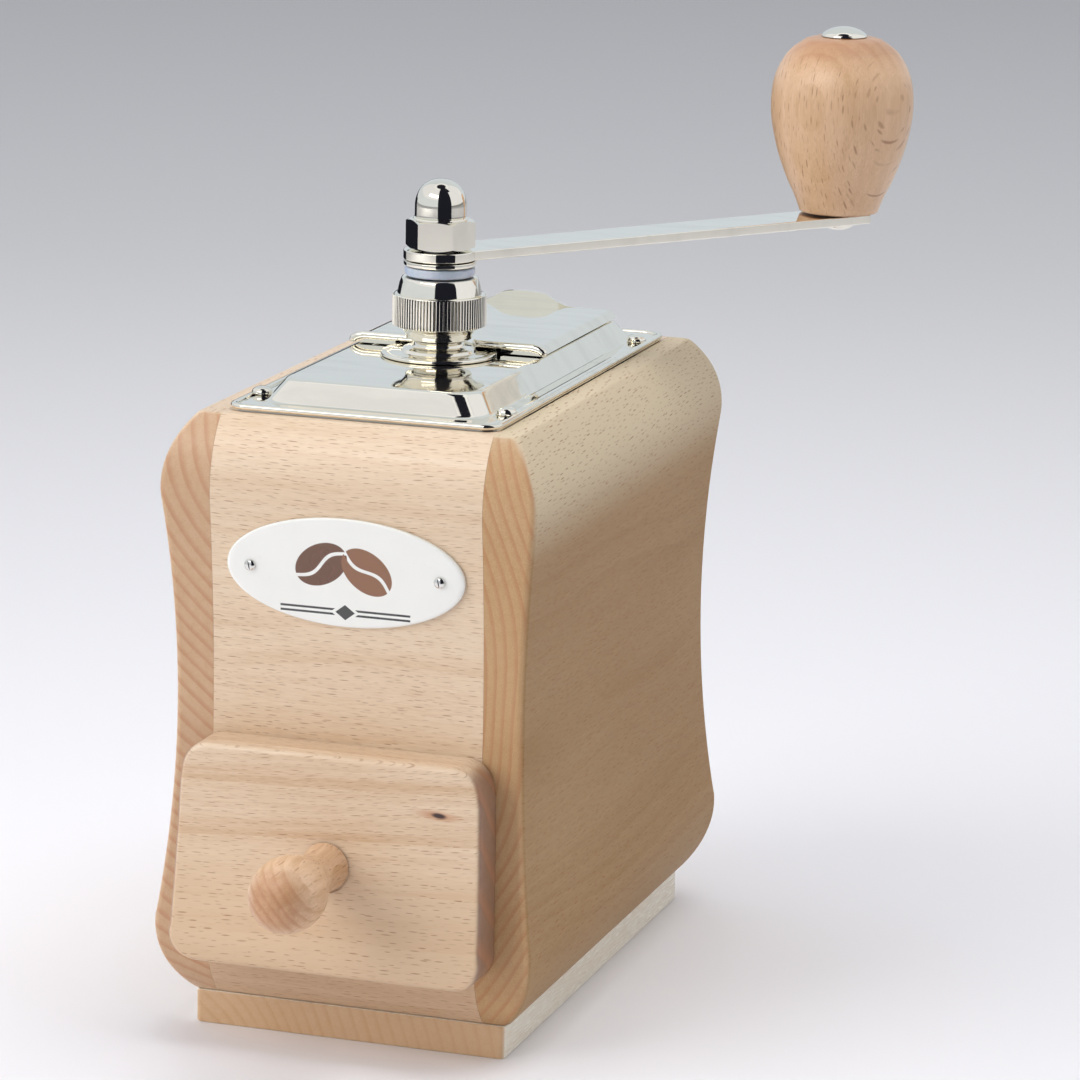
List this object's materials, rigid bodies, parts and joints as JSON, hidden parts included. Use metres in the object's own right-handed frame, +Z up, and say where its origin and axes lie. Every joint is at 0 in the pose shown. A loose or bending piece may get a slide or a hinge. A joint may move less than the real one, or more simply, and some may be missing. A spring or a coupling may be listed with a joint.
{
  "type": "box coffee mill",
  "caption": "Hand coffee mill: a waisted wooden box with a ground-coffee drawer, a sheet-steel top with sliding lid, and a crank that turns a cone burr.",
  "frame": {"origin": "centre of the underside of the base board", "axes": "+X to the right along the front, +Y to the back, +Z up; the drawer faces -Y"},
  "size_m": [0.1389, 0.2238, 0.2303],
  "materials": {
    "beech": "satin lacquered beech",
    "turned_beech": "turned and lacquered beech, a little darker",
    "chrome": "bright chrome plate",
    "plain_steel": "plain mild steel",
    "cast_iron": "hardened cast burr, dark",
    "nylon": "pale blue-grey nylon",
    "enamel": "off-white gloss enamel"
  },
  "bodies": {
    "box": {"back_board": "beech", "base_board": "beech", "bridge_screw_left": "plain_steel", "bridge_screw_right": "plain_steel", "burr_screw_1": "plain_steel", "burr_screw_2": "plain_steel", "burr_screw_3": "plain_steel", "burr_screw_4": "plain_steel", "drawer_runner_left": "beech", "drawer_runner_right": "beech", "front_board": "beech", "front_rail": "beech", "hopper_funnel": "plain_steel", "label_pin_left": "chrome", "label_pin_right": "chrome", "label_plate": "enamel", "left_side_board": "beech", "lower_bridge": "plain_steel", "lower_bridge_screw_left": "plain_steel", "lower_bridge_screw_right": "plain_steel", "neck_bush": "chrome", "neck_ring_nut": "plain_steel", "partition_board": "beech", "plate_screw_1": "chrome", "plate_screw_2": "chrome", "plate_screw_3": "chrome", "plate_screw_4": "chrome", "right_side_board": "beech", "ring_burr": "cast_iron", "top_cleat_front": "beech", "top_cleat_rear": "beech", "top_plate": "chrome", "upper_bridge": "plain_steel"},
    "lift": {"nylon_washer": "nylon"},
    "adjuster": {"adjusting_nut": "chrome"},
    "crank": {"crank_washer": "chrome", "crank_arm": "chrome", "acorn_nut": "chrome", "shaft": "plain_steel", "cone_burr": "cast_iron", "burr_nut": "plain_steel", "spring_washer": "plain_steel", "burr_spring": "plain_steel", "handle_spindle": "chrome"},
    "handle": {"handle_knob": "turned_beech"},
    "lid": {"lid": "chrome"},
    "drawer": {"drawer_front": "beech", "drawer_side_left": "beech", "drawer_side_right": "beech", "drawer_back": "beech", "drawer_floor": "beech", "drawer_knob": "turned_beech", "drawer_knob_screw": "plain_steel"}
  },
  "joints": [
    {"name": "grind_lift", "type": "slide", "parent": "box", "child": "lift", "axis": [0, 0, 1], "range_m": [-0.0005, 0.0005], "deforming": ["burr_spring"]},
    {"name": "nut_turn", "type": "hinge", "parent": "lift", "child": "adjuster", "pos_m": [0, -0.0125, 0.168], "axis": [0, 0, 1], "range_deg": [-180, 180]},
    {"name": "crank_spin", "type": "hinge", "parent": "lift", "child": "crank", "pos_m": [0, -0.0125, 0.181], "axis": [0, 0, 1], "continuous": true},
    {"name": "knob_spin", "type": "hinge", "parent": "crank", "child": "handle", "pos_m": [0.07342, 0.08493, 0.205], "axis": [0, 0, 1], "continuous": true},
    {"name": "lid_slide", "type": "slide", "parent": "box", "child": "lid", "axis": [0, 1, 0], "range_m": [0, 0.042]},
    {"name": "drawer_slide", "type": "slide", "parent": "box", "child": "drawer", "axis": [0, -1, 0], "range_m": [0, 0.1]}
  ],
  "couplings": [
    {"joint": "nut_turn", "follows": "grind_lift", "rad_per_m": 6283}
  ]
}
